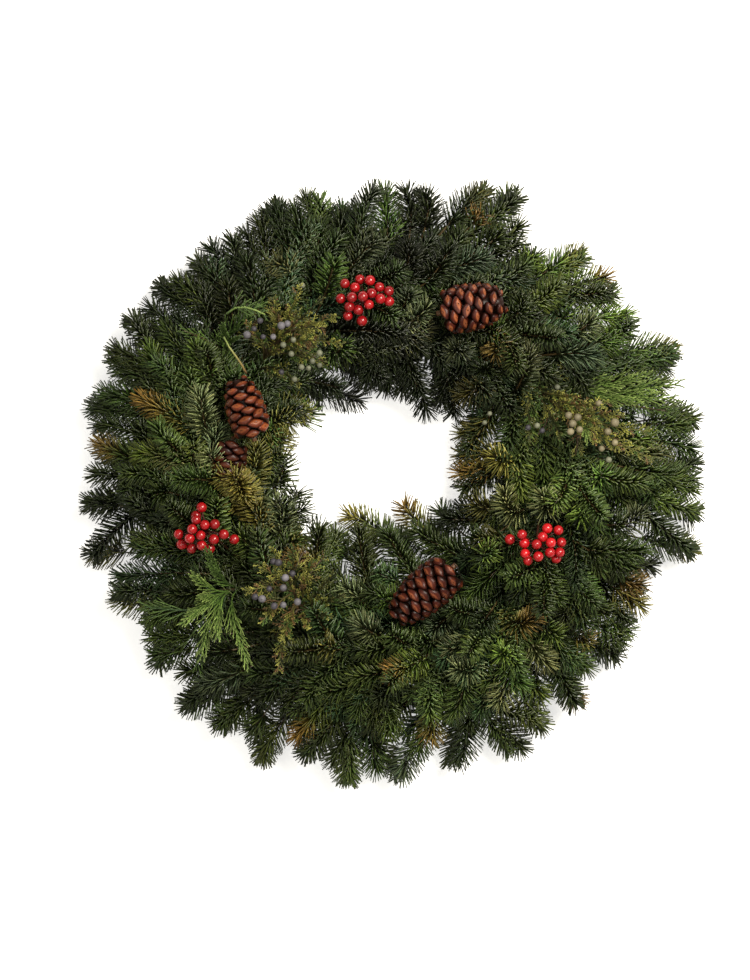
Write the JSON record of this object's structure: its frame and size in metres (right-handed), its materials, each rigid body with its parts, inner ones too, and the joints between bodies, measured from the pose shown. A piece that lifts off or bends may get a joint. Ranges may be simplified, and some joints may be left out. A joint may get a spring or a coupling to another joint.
{
  "type": "evergreen wreath",
  "caption": "Round fir wreath on a clamped wire ring, dressed with pinecones, red berry clusters, juniper sprays and cedar fans, open in the middle.",
  "frame": {"origin": "middle of the bounding box on the surface the wreath lies on, at the clamps' flat backs; the ring's centre is 7.6 mm towards -X and 9.8 mm towards +Y from it", "axes": "+Z out of the wreath's front, the face that is seen; +Y towards its top as it hangs; +X to the viewer's right"},
  "size_m": [0.6038, 0.588, 0.1083],
  "materials": {
    "fir": "waxy needles, dark green above and silvery below",
    "juniper": "scaly olive twigs with blue-grey bloomed berries",
    "cedar": "soft bright green scales",
    "cone": "reddish brown scales with tan tips",
    "berry": "glossy red",
    "ring": "dark green enamel on steel wire",
    "cone_wire": "plain annealed wire"
  },
  "bodies": {
    "root": {"clamp_ring": "ring", "pinecone_top_right": "cone", "pinecone_left": "cone", "pinecone_left_low": "cone", "pinecone_bottom": "cone", "cone_wire_top_right": "cone_wire", "cone_wire_left": "cone_wire", "cone_wire_left_low": "cone_wire", "cone_wire_bottom": "cone_wire", "berries_top": "berry", "berries_left": "berry", "berries_right": "berry", "juniper_upper_left": "juniper", "juniper_right": "juniper", "juniper_bottom": "juniper", "cedar_bottom_left": "cedar", "cedar_upper_left": "cedar", "cedar_right": "cedar", "fir_outer_01": "fir", "fir_outer_02": "fir", "fir_outer_03": "fir", "fir_outer_04": "fir", "fir_outer_05": "fir", "fir_outer_06": "fir", "fir_outer_07": "fir", "fir_outer_08": "fir", "fir_outer_09": "fir", "fir_outer_10": "fir", "fir_outer_11": "fir", "fir_outer_12": "fir", "fir_outer_13": "fir", "fir_outer_14": "fir", "fir_front_01": "fir", "fir_front_02": "fir", "fir_front_03": "fir", "fir_front_04": "fir", "fir_front_05": "fir", "fir_front_06": "fir", "fir_front_07": "fir", "fir_front_08": "fir", "fir_front_09": "fir", "fir_front_10": "fir", "fir_front_11": "fir", "fir_front_12": "fir", "fir_front_13": "fir", "fir_front_14": "fir", "fir_inner_01": "fir", "fir_inner_02": "fir", "fir_inner_03": "fir", "fir_inner_04": "fir", "fir_inner_05": "fir", "fir_inner_06": "fir", "fir_inner_07": "fir", "fir_inner_08": "fir", "fir_inner_09": "fir", "fir_inner_10": "fir", "fir_inner_11": "fir", "fir_inner_12": "fir", "fir_inner_13": "fir", "fir_inner_14": "fir"}
  },
  "joints": []
}
